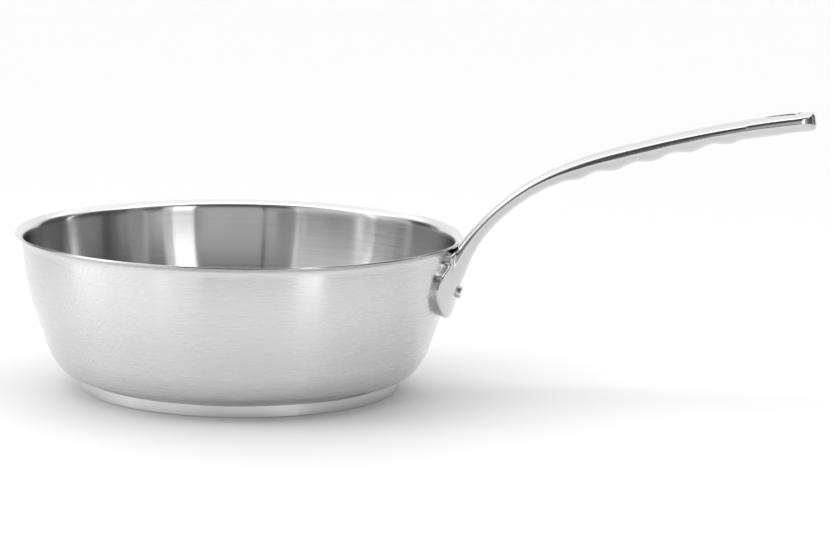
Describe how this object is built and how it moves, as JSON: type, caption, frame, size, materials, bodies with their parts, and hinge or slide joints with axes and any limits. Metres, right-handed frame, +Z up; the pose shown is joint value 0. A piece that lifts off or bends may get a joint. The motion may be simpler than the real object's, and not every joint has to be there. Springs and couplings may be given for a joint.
{
  "type": "saucier pan",
  "caption": "Round flared saucier pan with a capsule base and one long curved cast handle riveted to its wall, for reducing and whisking sauces.",
  "frame": {"origin": "centre of the flat underside of the base, on the table", "axes": "+Z up along the vessel's axis, +X along the handle, the XZ plane is the pan's plane of symmetry"},
  "size_m": [0.4249, 0.24, 0.1611],
  "materials": {
    "vessel_steel": "satin outside, circular brushed inside",
    "disc_aluminium": "mill finish, sealed in the base",
    "base_steel": "satin",
    "handle_steel": "polished cast stainless steel",
    "rivet_steel": "polished"
  },
  "bodies": {
    "root": {"pan_body": "vessel_steel", "heat_disc": "disc_aluminium", "base_cap": "base_steel", "handle": "handle_steel", "rivet_lower": "rivet_steel", "rivet_upper": "rivet_steel"}
  },
  "joints": []
}
